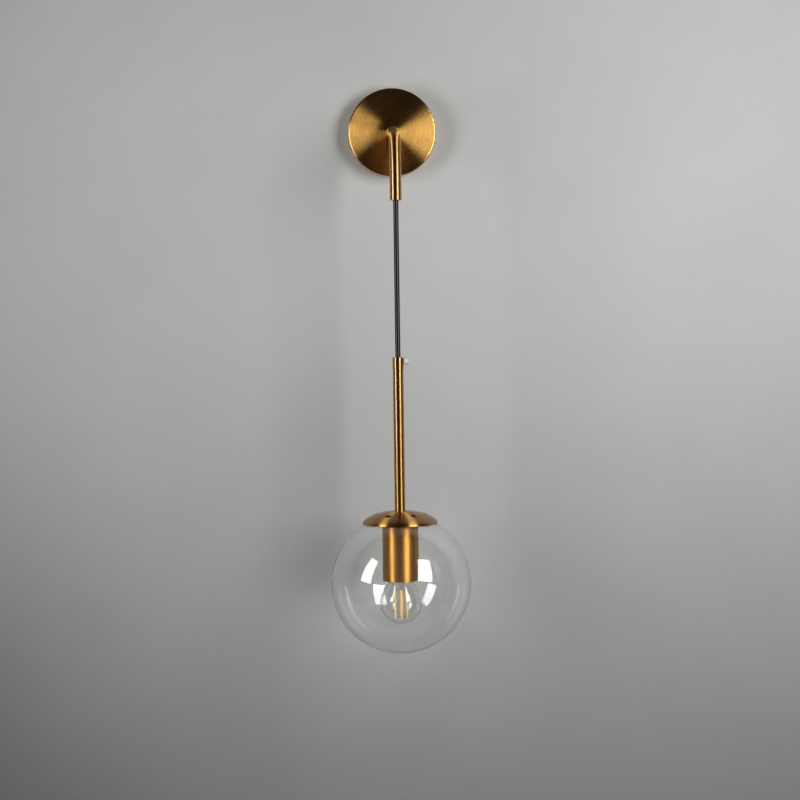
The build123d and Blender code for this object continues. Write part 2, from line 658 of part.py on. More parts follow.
def holder_body():
    """Lampholder's lower sleeve, stepped inside to carry the core and the screw shell."""
    shell_r = SHELL_BORE_D / 2 + SHELL_T + FIT
    return HANG * turned_points(
        (HOLDER_BORE_R, -HOLDER_JOIN), (HOLDER_R, -HOLDER_JOIN), (HOLDER_R, -HOLDER_MOUTH + 1),
        (HOLDER_R - 1, -HOLDER_MOUTH), (shell_r, -HOLDER_MOUTH), (shell_r, -CORE_BOTTOM),
        (HOLDER_BORE_R, -CORE_BOTTOM),
    )


def holder_core():
    """Ceramic core that carries the terminals above and the contacts below."""
    radius = HOLDER_BORE_R - FIT
    key_r = CORE_KEY_D / 2
    core = turned_points(
        (key_r, -CORE_BOTTOM), (radius, -CORE_BOTTOM), (radius, -CORE_TOP - 1), (radius - 1, -CORE_TOP),
        (key_r, -CORE_TOP),
    )
    return HANG * core


def screw_shell():
    """Thin metal shell that the bulb's cap screws into, flanged inwards against the core."""
    inner_r = SHELL_BORE_D / 2
    outer_r = inner_r + SHELL_T
    return HANG * turned_points(
        (inner_r, -SHELL_MOUTH), (outer_r, -SHELL_MOUTH), (outer_r, -CORE_BOTTOM),
        (inner_r - 3, -CORE_BOTTOM), (inner_r - 3, -CORE_BOTTOM - SHELL_T),
        (inner_r, -CORE_BOTTOM - SHELL_T),
    )


def centre_contact():
    """Bowed leaf spring under the core that meets the bulb's tip."""
    top = -CORE_BOTTOM - CONTACT_T / 2
    low = -BULB_TIP + LOOSE + CONTACT_T / 2
    return HANG * strip(
        [(-8, top), (-4, top), (-2, low), (2, low), (4, low + CONTACT_T)], CONTACT_T, CONTACT_WIDTH)


def terminals():
    """Two brass terminal blocks on the core."""
    block = Box(TERMINAL_SIZE, TERMINAL_SIZE, TERMINAL_HEIGHT, align=(Align.CENTER, Align.CENTER, Align.MIN))
    return HANG * Compound(children=[
        Pos(side * TERMINAL_OFFSET, 0, -CORE_TOP) * block for side in (-1, 1)])


def terminal_screws():
    """Slotted screws on the terminal blocks."""
    top = -CORE_TOP + TERMINAL_HEIGHT
    screw = slotted_screw(TERMINAL_SCREW_D / 2, top, top + TERMINAL_SCREW_D / 2)
    return HANG * Compound(children=[Pos(side * TERMINAL_OFFSET, 0, 0) * screw for side in (-1, 1)])


def holder_leads():
    """Two leads from the sheath's end to the terminals."""
    start = HEAD_NIPPLE_END - SHEATH_OUT
    level = -CORE_TOP + TERMINAL_HEIGHT / 2
    face_x = TERMINAL_OFFSET - TERMINAL_SIZE / 2
    leads = []
    for side in (-1, 1):
        points = [
            (side * LEAD_SPACING, 0, start), (side * LEAD_SPACING, 0, (start + 2 * level) / 3),
            (side * face_x / 2, 0, level), (side * face_x, 0, level),
        ]
        leads.append(wire_along(points, HOLDER_LEAD_D, HOLDER_LEAD_D / 2 + FIT))
    return HANG * Compound(children=leads)


# ================================================================ bulb
def bulb_outline(offset):
    """Outline of the envelope, set in by an offset, from the neck's top down to the tip."""
    ball_r = BULB_D / 2 - offset
    neck_r = BULB_NECK_D / 2 - offset
    foot_z = (ball_r - neck_r * CONE_ACROSS) / CONE_ALONG - BULB_CENTRE
    touch = (ball_r * CONE_ACROSS, ball_r * CONE_ALONG - BULB_CENTRE)
    return [
        Polyline((neck_r, -BULB_NECK_TOP), (neck_r, foot_z), touch),
        ThreePointArc(touch, (ball_r, -BULB_CENTRE), (0, -BULB_CENTRE - ball_r)),
    ]


def bulb_glass():
    """Clear envelope: a ball drawn up in a cone to a short neck that sits in the screw cap."""
    outer = bulb_outline(0)
    inner = bulb_outline(BULB_WALL)
    return HANG * turned(
        *outer, *inner, Line(outer[0] @ 0, inner[0] @ 0), Line(outer[-1] @ 1, inner[-1] @ 1))


def bulb_cap():
    """Screw cap shell with a sloping shoulder."""
    outer_r = BULB_CAP_D / 2
    inner_r = outer_r - BULB_CAP_WALL
    top_r = BULB_CAP_SHOULDER_D / 2
    shoulder_z = -BULB_CAP_TOP - BULB_CAP_SHOULDER
    return HANG * turned_points(
        (top_r - BULB_CAP_WALL, -BULB_CAP_TOP), (top_r, -BULB_CAP_TOP), (outer_r, shoulder_z),
        (outer_r, -BULB_CAP_BOTTOM), (inner_r, -BULB_CAP_BOTTOM), (inner_r, shoulder_z),
        (top_r - BULB_CAP_WALL, -BULB_CAP_TOP - BULB_CAP_WALL),
    )


def bulb_insulator():
    """Glass insulator cone in the top of the screw cap."""
    outer_r = BULB_CAP_SHOULDER_D / 2 - BULB_CAP_WALL - FIT
    tip_r = BULB_TIP_D / 2 + BULB_CAP_WALL
    top = -BULB_TIP - BULB_TIP_T
    return HANG * turned_points(
        (0, top), (tip_r, top), (outer_r, -BULB_CAP_TOP), (outer_r, -BULB_CAP_TOP - 3 * BULB_CAP_WALL),
        (0, -BULB_CAP_TOP - 3 * BULB_CAP_WALL))


def bulb_contact():
    """Soldered tip contact."""
    radius = BULB_TIP_D / 2
    bottom = -BULB_TIP - BULB_TIP_T
    return HANG * turned_points(
        (0, bottom), (radius, bottom), (radius, bottom + BULB_TIP_T / 2),
        (radius - BULB_TIP_T, -BULB_TIP), (0, -BULB_TIP))


def bulb_stem():
    """Glass stem, flared and sealed to the neck, that carries the filaments."""
    foot_r = BULB_NECK_D / 2 - BULB_WALL - FIT
    stem_r = STEM_D / 2
    flare = -STEM_FOOT - STEM_D / 2
    return HANG * turned_points(
        (0, flare), (stem_r - BULB_WALL, flare), (foot_r - BULB_WALL, -STEM_FOOT), (foot_r, -STEM_FOOT),
        (foot_r, -STEM_FOOT - BULB_WALL), (stem_r, flare - BULB_WALL), (stem_r, -STEM_TIP + STEM_D),
        (stem_r * 0.7, -STEM_TIP + STEM_D / 5), (0, -STEM_TIP))


def filaments():
    """Upright filament rods set in a ring."""
    rod = Pos(FILAMENT_CIRCLE_R, 0, 0) * ring_rod(FILAMENT_D / 2, -FILAMENT_BOTTOM, -FILAMENT_TOP)
    return HANG * Compound(children=all_round(FILAMENT_COUNT, FILAMENT_FIRST_ANGLE, rod))


def filament_supports():
    """Centre wire from the stem's tip with spokes to the ends of the filaments."""
    wire_r = SUPPORT_WIRE_D / 2
    support = ring_rod(wire_r, -FILAMENT_BOTTOM, -STEM_TIP)
    spoke = Rot(0, 90, 0) * ring_rod(wire_r * 0.8, 0, FILAMENT_CIRCLE_R - FILAMENT_D / 2)
    for height in (-FILAMENT_TOP - SUPPORT_WIRE_D, -FILAMENT_BOTTOM + SUPPORT_WIRE_D):
        for copy in all_round(FILAMENT_COUNT, FILAMENT_FIRST_ANGLE, spoke):
            support += Pos(0, 0, height) * copy
    return HANG * support


# ================================================================ files
write("wall_plate", wall_plate())
write("canopy_cover", canopy_cover())
write("canopy_side_screws", canopy_side_screws())
write("arm_tube", arm_tube())
for clamp_name, clamp_piece in zip(("arm_nipple", "arm_washer", "arm_lock_nut"), arm_clamp()):
    write(clamp_name, clamp_piece)
write("terminal_block", terminal_block())
write("terminal_block_screws", terminal_block_screws())
write("earth_screw", earth_screw())
write("earth_tag", earth_tag())
write("cord_leads", cord_leads())
write("earth_lead", earth_lead())
write("cord_in_arm", cord_in_arm())
write("cord_bend", cord_bend())
write("cord", cord())
write("cord_in_rod", cord_in_rod())
write("rod_collar", rod_collar())
write("grip_screw", grip_screw())
write("drop_rod", drop_rod())
write("dome_cap", dome_cap())
write("head_nipple", head_nipple())
write("cap_washer", HANG * ring(CAP_WASHER_D / 2, HEAD_NIPPLE_R + FIT, CAP_NUT_TOP, CAP_UNDERSIDE))
write("cap_lock_nut", clamp_ring(HEAD_NUT_AF, CLIP_TOP, CAP_NUT_TOP))
write("globe_clip", globe_clip())
write("glass_globe", glass_globe())
write("lampholder_cup", lampholder_cup())
write("cup_lock_nut", clamp_ring(HEAD_NUT_AF, HOLDER_TOP, CUP_NUT_TOP))
write("holder_top", holder_top())
write("holder_body", holder_body())
write("holder_core", holder_core())
write("screw_shell", screw_shell())
write("centre_contact", centre_contact())
write("terminals", terminals())
write("terminal_screws", terminal_screws())
write("holder_leads", holder_leads())
write("bulb_glass", bulb_glass())
write("bulb_cap", bulb_cap())
write("bulb_insulator", bulb_insulator())
write("bulb_contact", bulb_contact())
write("bulb_stem", bulb_stem())
write("filaments", filaments())
write("filament_supports", filament_supports())
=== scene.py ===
"""Wall sconce: brass canopy, bent arm, taut cord, brass rod, vented cap and clear globe with its bulb."""
import json
import math

import bpy
from mathutils import Matrix, Vector


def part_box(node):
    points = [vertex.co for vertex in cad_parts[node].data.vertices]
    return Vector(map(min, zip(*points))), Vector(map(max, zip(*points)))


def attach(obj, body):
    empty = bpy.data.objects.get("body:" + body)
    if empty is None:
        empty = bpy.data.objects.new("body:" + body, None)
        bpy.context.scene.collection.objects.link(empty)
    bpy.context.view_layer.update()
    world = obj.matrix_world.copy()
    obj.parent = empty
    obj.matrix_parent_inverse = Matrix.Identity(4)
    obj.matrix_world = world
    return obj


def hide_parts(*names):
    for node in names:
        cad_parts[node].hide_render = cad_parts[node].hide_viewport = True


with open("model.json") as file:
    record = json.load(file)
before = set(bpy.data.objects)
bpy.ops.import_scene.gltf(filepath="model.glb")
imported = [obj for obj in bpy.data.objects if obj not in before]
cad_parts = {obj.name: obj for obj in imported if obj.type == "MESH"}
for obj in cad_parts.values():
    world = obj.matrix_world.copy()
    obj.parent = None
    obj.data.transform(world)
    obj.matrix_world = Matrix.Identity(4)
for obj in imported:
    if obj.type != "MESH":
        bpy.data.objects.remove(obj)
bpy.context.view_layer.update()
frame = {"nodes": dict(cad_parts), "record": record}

# Driving sizes, in metres and degrees

GLOBE_WALL = 0.002
GLOBE_OPENING_R = 0.032
GLOBE_RIM_BULGE = 0.0006
CORD_D = 0.0056
CORD_SUPPORT_RUN = 0.0336
BULB_WALL = 0.00035
BULB_NECK_R = 0.0125
BULB_CONE_TILT = 27
BULB_CONE_STEPS = (0.25, 0.5, 0.75, 0.92, 0.98)
BULB_NECK_RUN = 0.0004
BULB_CAP_SHEET = 0.0005
BULB_CAP_SKIRT = 0.0048
BULB_CAP_SHOULDER = 0.003
BULB_CAP_SHOULDER_SLOPE = 0.63
THREAD_PITCH = 0.00362
THREAD_DEPTH = 0.0008
THREAD_HALF_WIDTH = 0.0012
THREAD_SUNK = 0.0002
THREAD_TURNS = 4
THREAD_STEPS = 64
THREAD_SECTION_STEPS = 8
FILAMENT_COUNT = 4
FILAMENT_FIRST_ANGLE = 3
FILAMENT_R = 0.00085
FILAMENT_ROUNDING = 0.0005
ROD_WALL = 0.0012
EDGE = 0.0002

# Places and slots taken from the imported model

SLOT_OF = {part["node"]: part["material_slot"] for part in frame["record"]["subparts"]}

cord_low, cord_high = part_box("cord")
HANG_Y = (cord_low.y + cord_high.y) / 2
globe_low, globe_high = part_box("glass_globe")
GLOBE_R = (globe_high.x - globe_low.x) / 2
GLOBE_Z = globe_low.z + GLOBE_R
bulb_low, bulb_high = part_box("bulb_glass")
BULB_R = (bulb_high.x - bulb_low.x) / 2
BULB_Z = bulb_low.z + BULB_R


# Modelling helpers

def deselect():
    """Leaves edit mode with nothing selected."""
    if bpy.context.object and bpy.context.object.mode != "OBJECT":
        bpy.ops.object.mode_set(mode="OBJECT")
    bpy.ops.object.select_all(action="DESELECT")


def start_profile(name, points):
    """A chain of edges drawn point to point, left in edit mode and selected all over."""
    deselect()
    bpy.ops.mesh.primitive_plane_add(size=0.001)
    piece = bpy.context.object
    piece.name = name
    bpy.ops.object.mode_set(mode="EDIT")
    bpy.ops.mesh.merge(type="CENTER")
    bpy.ops.transform.translate(value=points[0])
    for here, there in zip(points, points[1:]):
        bpy.ops.mesh.extrude_region_move(TRANSFORM_OT_translate={"value": Vector(there) - Vector(here)})
    bpy.ops.mesh.select_all(action="SELECT")
    return piece


def turn(name, profile, steps=96, smooth_angle=30):
    """Turned piece: a profile of (radius, height) spun about the hanging line."""
    points = [(r, HANG_Y, z) for r, z in profile]
    piece = start_profile(name, points)
    bpy.ops.mesh.spin(steps=steps, angle=math.tau, center=(0, HANG_Y, 0), axis=(0, 0, 1))
    bpy.ops.mesh.select_all(action="SELECT")
    bpy.ops.mesh.remove_doubles(threshold=1e-6)
    bpy.ops.mesh.normals_make_consistent(inside=False)
    bpy.ops.object.mode_set(mode="OBJECT")
    smooth(piece, smooth_angle)
    return piece


def pick(piece, wanted):
    """Selects the faces of a piece in edit mode whose middle and normal pass a test."""
    bpy.ops.mesh.select_all(action="DESELECT")
    bpy.ops.object.mode_set(mode="OBJECT")
    for face in piece.data.polygons:
        face.select = wanted(face.center, face.normal)
    bpy.ops.object.mode_set(mode="EDIT")


def join(pieces):
    """One piece out of several."""
    deselect()
    for piece in pieces:
        piece.select_set(True)
    bpy.context.view_layer.objects.active = pieces[0]
    bpy.ops.object.join()
    return pieces[0]


def settle(piece):
    """Puts a piece's place and turn into its mesh."""
    deselect()
    piece.select_set(True)
    bpy.context.view_layer.objects.active = piece
    bpy.ops.object.transform_apply(location=True, rotation=True, scale=True)


def smooth(piece, angle):
    """Smooth shading that keeps edges sharper than the angle."""
    deselect()
    piece.select_set(True)
    bpy.context.view_layer.objects.active = piece
    bpy.ops.object.shade_smooth_by_angle(angle=math.radians(angle))


def arc(centre_z, radius, start, end, steps):
    """Points of a meridian: angles in degrees above the level of the centre."""
    angles = [math.radians(start + (end - start) * i / steps) for i in range(steps + 1)]
    return [(radius * math.cos(a), centre_z + radius * math.sin(a)) for a in angles]


# Material helpers

NOISE_LOW = 0.3
NOISE_HIGH = 0.7


def new_finish(name):
    """A node material and its shader."""
    material = bpy.data.materials.new(name)
    material.use_nodes = True
    return material, material.node_tree, material.node_tree.nodes["Principled BSDF"]


def add(tree, kind, inputs=(), **settings):
    """A node with its settings, and its inputs set or linked by name or number."""
    node = tree.nodes.new(kind)
    for key, value in settings.items():
        setattr(node, key, value)
    for key, value in dict(inputs).items():
        if isinstance(value, bpy.types.NodeSocket):
            tree.links.new(value, node.inputs[key])
        else:
            node.inputs[key].default_value = value
    return node


def set_shader(shader, **values):
    """Sets sockets of a shader by name, an underscore for each space."""
    for key, value in values.items():
        shader.inputs[key.replace("_", " ")].default_value = value


def place(tree):
    """Object coordinates."""
    return add(tree, "ShaderNodeTexCoord").outputs["Object"]


def grain(tree, vector, scale, detail=3.0, roughness=0.5):
    """Noise in space, from 0 to 1."""
    noise = add(tree, "ShaderNodeTexNoise", {"Vector": vector, "Scale": scale, "Detail": detail,
                                             "Roughness": roughness})
    return noise.outputs["Fac"]


def spread(tree, value, low, high):
    """Maps a noise onto a range."""
    ranged = add(tree, "ShaderNodeMapRange", {"Value": value, "From Min": NOISE_LOW, "From Max": NOISE_HIGH,
                                              "To Min": low, "To Max": high})
    return ranged.outputs["Result"]


def blend_colours(tree, factor, first, second):
    """A colour between two, each given as three numbers or as a socket."""
    blend = add(tree, "ShaderNodeMix", {"Factor": factor}, data_type="RGBA")
    ends = [socket for socket in blend.inputs if socket.type == "RGBA"]
    for socket, colour in zip(ends, (first, second)):
        if isinstance(colour, bpy.types.NodeSocket):
            tree.links.new(colour, socket)
        else:
            socket.default_value = (*colour, 1)
    return next(socket for socket in blend.outputs if socket.type == "RGBA")


def shades(tree, value, dark, light):
    """Maps a noise onto two colours."""
    return blend_colours(tree, spread(tree, value, 0, 1), dark, light)


def calculate(tree, operation, first, second=0.0):
    """The result of a sum on two values, each a number or a socket."""
    return add(tree, "ShaderNodeMath", {0: first, 1: second}, operation=operation).outputs["Value"]


def mix_shaders(tree, factor, first, second):
    """Puts a mix of two shaders on the surface."""
    mix = add(tree, "ShaderNodeMixShader", {0: factor, 1: first, 2: second})
    tree.links.new(mix.outputs["Shader"], tree.nodes["Material Output"].inputs["Surface"])


def raise_surface(tree, shader, height, strength, distance):
    """Bump on a shader."""
    bump = add(tree, "ShaderNodeBump", {"Height": height, "Strength": strength, "Distance": distance})
    tree.links.new(bump.outputs["Normal"], shader.inputs["Normal"])


# Finishes

BRASS_DARK = (0.47, 0.25, 0.06)
BRASS_LIGHT = (0.60, 0.34, 0.09)
DOME_DARK = (0.41, 0.205, 0.045)
DOME_LIGHT = (0.53, 0.285, 0.07)
CUP_DARK = (0.43, 0.195, 0.032)
CUP_LIGHT = (0.56, 0.27, 0.05)
# Painted shade for the walls inside the vent holes, put where the surface is steep and near the axis
VENT_PAINTED_SHADE = (0.03, 0.018, 0.008)
VENTS_WITHIN_R = 0.034
VENT_EDGE_LEAN = 0.35
# Noise per metre: across the turning rings, and in the three directions of a brushed tube
TURNING_SCALE = 1400.0
BRUSHING_SCALE = (120.0, 120.0, 4200.0)
# The quarter turn that spreads the shine square to the rings or brush marks
SHINE_TURN = 0.25
GLASS_IOR = 1.52


def axis_distance(tree, across, centre):
    """Distance from an axis through a centre: across is 1 in the two directions square to it."""
    offset = [-c * a for c, a in zip(centre, across)]
    moved = add(tree, "ShaderNodeMapping", {"Vector": place(tree), "Location": offset, "Scale": across})
    length = add(tree, "ShaderNodeVectorMath", {0: moved.outputs["Vector"]}, operation="LENGTH")
    return length.outputs["Value"]


def lathe_lines(tree, across, centre, scale):
    """Noise that changes only with the distance from an axis, as turning marks do."""
    w = calculate(tree, "MULTIPLY", axis_distance(tree, across, centre), scale)
    noise = add(tree, "ShaderNodeTexNoise", {"W": w, "Scale": 1.0, "Detail": 4.0, "Roughness": 0.6},
                noise_dimensions="1D")
    return noise.outputs["Fac"]


def turned_brass(name, dark, light, across, centre, axis, low, high, lacquer):
    """Lacquered brass with the fine rings that turning leaves about an axis."""
    material, tree, shader = new_finish(name)
    lines = lathe_lines(tree, across, centre, TURNING_SCALE)
    cloud = grain(tree, place(tree), 45.0)
    set_shader(shader, Metallic=1.0, Anisotropic=1.0, Anisotropic_Rotation=SHINE_TURN,
               Coat_Weight=lacquer, Coat_Roughness=0.12)
    tree.links.new(shades(tree, lines, dark, light), shader.inputs["Base Color"])
    rough = calculate(tree, "ADD", spread(tree, lines, low, high), spread(tree, cloud, -0.02, 0.03))
    tree.links.new(rough, shader.inputs["Roughness"])
    raise_surface(tree, shader, lines, 0.25, 0.00004)
    around = add(tree, "ShaderNodeTangent", direction_type="RADIAL", axis=axis)
    tree.links.new(around.outputs["Tangent"], shader.inputs["Tangent"])
    return material


def dome_brass():
    """Turned brass, with painted shade: the walls of the vent holes are coloured near black where shade
    falls inside them.
    """
    across = (1, 1, 0)
    centre = (0, HANG_Y, 0)
    material = turned_brass("dome_brass", DOME_DARK, DOME_LIGHT, across, centre, "Z",
                            low=0.33, high=0.40, lacquer=0.35)
    tree = material.node_tree
    shader = tree.nodes["Principled BSDF"]
    normal = add(tree, "ShaderNodeTexCoord").outputs["Normal"]
    lean = add(tree, "ShaderNodeSeparateXYZ", {"Vector": normal}).outputs["Z"]
    # Painted shade: the steep vent hole walls near the axis get a near-black base colour, standing in for
    # the shade inside the holes
    steep = calculate(tree, "LESS_THAN", calculate(tree, "ABSOLUTE", lean), VENT_EDGE_LEAN)
    within = calculate(tree, "LESS_THAN", axis_distance(tree, across, centre), VENTS_WITHIN_R)
    painted_vent_shade = calculate(tree, "MULTIPLY", steep, within)
    rings = shader.inputs["Base Color"].links[0].from_socket
    tree.links.new(blend_colours(tree, painted_vent_shade, rings, VENT_PAINTED_SHADE), shader.inputs["Base Color"])
    return material


def satin_brass(name, dark, light, low, high, brushing, lacquer):
    """Lacquered brass, brushed round an upright tube."""
    material, tree, shader = new_finish(name)
    stretched = add(tree, "ShaderNodeMapping", {"Vector": place(tree), "Scale": BRUSHING_SCALE})
    lines = grain(tree, stretched.outputs["Vector"], 1.0, 4.0, 0.6)
    cloud = grain(tree, place(tree), 60.0)
    set_shader(shader, Metallic=1.0, Anisotropic=brushing, Anisotropic_Rotation=SHINE_TURN,
               Coat_Weight=lacquer, Coat_Roughness=0.15)
    tree.links.new(shades(tree, lines, dark, light), shader.inputs["Base Color"])
    rough = calculate(tree, "ADD", spread(tree, lines, low, high), spread(tree, cloud, -0.01, 0.02))
    tree.links.new(rough, shader.inputs["Roughness"])
    raise_surface(tree, shader, lines, 0.06, 0.00002)
    around = add(tree, "ShaderNodeTangent", direction_type="RADIAL", axis="Z")
    tree.links.new(around.outputs["Tangent"], shader.inputs["Tangent"])
    return material


def arm_brass():
    """Satin brass brushed round a tube that bends in the plane of Y and Z."""
    material = satin_brass("arm_brass", BRASS_DARK, BRASS_LIGHT, 0.42, 0.47, 1.0, 0.5)
    tree = material.node_tree
    shader = tree.nodes["Principled BSDF"]
    normal = add(tree, "ShaderNodeTexCoord").outputs["Normal"]
    cross = {"operation": "CROSS_PRODUCT"}
    along = add(tree, "ShaderNodeVectorMath", {0: normal, 1: (1, 0, 0)}, **cross).outputs["Vector"]
    around = add(tree, "ShaderNodeVectorMath", {0: along, 1: normal}, **cross).outputs["Vector"]
    tree.links.new(around, shader.inputs["Tangent"])
    return material


def plain_metal(name, dark, light, low, high, scale=350.0):
    """Metal with a faint cloud of wear in its shine."""
    material, tree, shader = new_finish(name)
    cloud = grain(tree, place(tree), scale, 4.0, 0.6)
    set_shader(shader, Metallic=1.0)
    tree.links.new(shades(tree, cloud, dark, light), shader.inputs["Base Color"])
    tree.links.new(spread(tree, cloud, low, high), shader.inputs["Roughness"])
    raise_surface(tree, shader, cloud, 0.12, 0.00005)
    return material


def moulding(name, dark, light, low, high, scale=600.0, bump=0.15, coat=0.0, shine=0.5):
    """Moulded, glazed or extruded surface with a fine grain."""
    material, tree, shader = new_finish(name)
    cloud = grain(tree, place(tree), scale, 3.0, 0.55)
    set_shader(shader, Coat_Weight=coat, Coat_Roughness=0.08, Specular_IOR_Level=shine)
    tree.links.new(shades(tree, cloud, dark, light), shader.inputs["Base Color"])
    tree.links.new(spread(tree, cloud, low, high), shader.inputs["Roughness"])
    raise_surface(tree, shader, cloud, bump, 0.00004)
    return material


def clear_glass(name, tint, clearness, shadow):
    """Clear glass under a faint veil of dust, with slow waves of the blowing."""
    material, tree, shader = new_finish(name)
    set_shader(shader, Base_Color=(*tint, 1), Transmission_Weight=clearness, IOR=GLASS_IOR, Roughness=0.0,
               Coat_Weight=0.05, Coat_Roughness=0.0)
    waves = grain(tree, place(tree), 22.0, 2.0, 0.4)
    raise_surface(tree, shader, waves, 0.008, 0.0006)
    through = add(tree, "ShaderNodeBsdfTransparent", {"Color": (*shadow, 1)})
    shadow_ray = add(tree, "ShaderNodeLightPath").outputs["Is Shadow Ray"]
    mix_shaders(tree, shadow_ray, shader.outputs["BSDF"], through.outputs["BSDF"])
    return material


def clear_nylon():
    """Translucent nylon."""
    material, tree, shader = new_finish("clear_nylon")
    cloud = grain(tree, place(tree), 700.0)
    set_shader(shader, Transmission_Weight=0.35, IOR=1.5)
    tree.links.new(shades(tree, cloud, (0.78, 0.78, 0.75), (0.9, 0.9, 0.88)), shader.inputs["Base Color"])
    tree.links.new(spread(tree, cloud, 0.2, 0.32), shader.inputs["Roughness"])
    raise_surface(tree, shader, cloud, 0.1, 0.00004)
    return material


def wall_paint():
    """Grey painted wall that is clear from behind, so that the canopy's back shows and is lit there."""
    material, tree, shader = new_finish("wall_paint")
    cloud = grain(tree, place(tree), 2.2, 5.0, 0.6)
    fleck = grain(tree, place(tree), 260.0, 3.0, 0.6)
    greys = shades(tree, cloud, (0.40, 0.405, 0.395), (0.45, 0.455, 0.445))
    tree.links.new(greys, shader.inputs["Base Color"])
    set_shader(shader, Roughness=0.85)
    raise_surface(tree, shader, fleck, 0.15, 0.0006)
    clear = add(tree, "ShaderNodeBsdfTransparent")
    from_behind = add(tree, "ShaderNodeNewGeometry").outputs["Backfacing"]
    shadow_ray = add(tree, "ShaderNodeLightPath").outputs["Is Shadow Ray"]
    see_through = calculate(tree, "MAXIMUM", from_behind, shadow_ray)
    mix_shaders(tree, see_through, shader.outputs["BSDF"], clear.outputs["BSDF"])
    return material


def floor_paint():
    """Pale floor."""
    material, tree, shader = new_finish("floor_paint")
    cloud = grain(tree, place(tree), 3.0, 4.0, 0.6)
    tree.links.new(shades(tree, cloud, (0.62, 0.62, 0.61), (0.68, 0.68, 0.67)), shader.inputs["Base Color"])
    set_shader(shader, Roughness=0.8)
    return material


FINISHES = {
    "turned_brass": turned_brass("turned_brass", BRASS_DARK, BRASS_LIGHT, (1, 0, 1), (0, 0, 0), "Y",
                                 low=0.24, high=0.30, lacquer=0.7),
    "satin_brass": satin_brass("satin_brass", BRASS_DARK, BRASS_LIGHT, 0.42, 0.47, 1.0, 0.5),
    "plated_steel": plain_metal("plated_steel", (0.5, 0.5, 0.49), (0.66, 0.66, 0.65), 0.28, 0.42),
    "nickel": plain_metal("nickel", (0.62, 0.6, 0.56), (0.74, 0.72, 0.68), 0.16, 0.28),
    "contact_brass": plain_metal("contact_brass", (0.66, 0.46, 0.2), (0.8, 0.6, 0.3), 0.25, 0.4),
    "white_plastic": moulding("white_plastic", (0.76, 0.76, 0.73), (0.86, 0.86, 0.83), 0.4, 0.55),
    "black_plastic": moulding("black_plastic", (0.02, 0.02, 0.02), (0.035, 0.035, 0.035), 0.4, 0.55),
    "white_ceramic": moulding("white_ceramic", (0.76, 0.75, 0.71), (0.86, 0.85, 0.81), 0.15, 0.25,
                              scale=300.0, bump=0.1, coat=0.5),
    "cord_sheath": moulding("cord_sheath", (0.006, 0.006, 0.007), (0.010, 0.010, 0.011), 0.10, 0.13,
                            scale=900.0, bump=0.04, shine=0.2),
    "lead_insulation": moulding("lead_insulation", (0.2, 0.09, 0.04), (0.28, 0.13, 0.06), 0.3, 0.42),
    "earth_insulation": moulding("earth_insulation", (0.3, 0.48, 0.08), (0.38, 0.58, 0.12), 0.3, 0.42),
    "clear_nylon": clear_nylon(),
    "globe_glass": clear_glass("globe_glass", (1.0, 1.0, 0.995), 0.994, (0.88, 0.89, 0.89)),
    "bulb_glass": clear_glass("bulb_glass", (1.0, 1.0, 1.0), 1.0, (0.9, 0.9, 0.9)),
    "black_glass": moulding("black_glass", (0.012, 0.012, 0.02), (0.025, 0.025, 0.035), 0.1, 0.2,
                            scale=300.0, bump=0.1, coat=0.5),
    "solder": plain_metal("solder", (0.5, 0.5, 0.5), (0.64, 0.64, 0.63), 0.25, 0.4),
    "filament": moulding("filament", (0.80, 0.46, 0.12), (0.95, 0.60, 0.20), 0.45, 0.6,
                         scale=900.0, bump=0.3),
}
# Nodes that wear a finish of their own in place of their slot's
OWN_FINISHES = {
    "arm_tube": arm_brass(),
    "dome_cap": dome_brass(),
    "lampholder_cup": satin_brass("cup_brass", CUP_DARK, CUP_LIGHT, 0.45, 0.49, 0.89, 0.1),
}


def dress(piece, slot_name):
    """Gives a piece its finish and names its slot."""
    piece.data.materials.clear()
    piece.data.materials.append(FINISHES[slot_name])


# Pieces

def carried_over():
    """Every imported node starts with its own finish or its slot's."""
    for name, slot in SLOT_OF.items():
        node = frame["nodes"][name]
        node.data.materials.clear()
        node.data.materials.append(OWN_FINISHES.get(name, FINISHES[slot]))


def hanging_cord():
    """The free stretch of cord, pulled straight by the lamp."""
    top, bottom = cord_high.z, cord_low.z
    heights = [top, top - CORD_SUPPORT_RUN, bottom + CORD_SUPPORT_RUN, bottom]
    curve = bpy.data.curves.new("hanging_cord", "CURVE")
    curve.dimensions = "3D"
    curve.bevel_depth = CORD_D / 2
    curve.bevel_resolution = 8
    spline = curve.splines.new("NURBS")
    spline.points.add(len(heights) - 1)
    for point, z in zip(spline.points, heights):
        point.co = (0, HANG_Y, z, 1)
    spline.order_u = 3
    spline.use_endpoint_u = True
    cord = bpy.data.objects.new("hanging_cord", curve)
    bpy.context.scene.collection.objects.link(cord)
    dress(cord, "cord_sheath")
    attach(cord, "pendant")
    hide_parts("cord")


def glass_globe():
    """Blown sphere with an open top and a rounded rim."""
    inner_r = GLOBE_R - GLOBE_WALL
    outer_top = math.degrees(math.acos(GLOBE_OPENING_R / GLOBE_R))
    inner_top = math.degrees(math.acos(GLOBE_OPENING_R / inner_r))
    outside = arc(GLOBE_Z, GLOBE_R, -90, outer_top, 96)
    inside = arc(GLOBE_Z, inner_r, inner_top, -90, 96)
    (outer_r, outer_z), (rim_r, rim_z) = outside[-1], inside[0]
    mid = ((outer_r + rim_r) / 2 - GLOBE_RIM_BULGE, (outer_z + rim_z) / 2)
    globe = turn("glass_globe_blown", outside + [mid] + inside, steps=160, smooth_angle=60)
    dress(globe, "globe_glass")
    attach(globe, "globe")
    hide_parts("glass_globe")


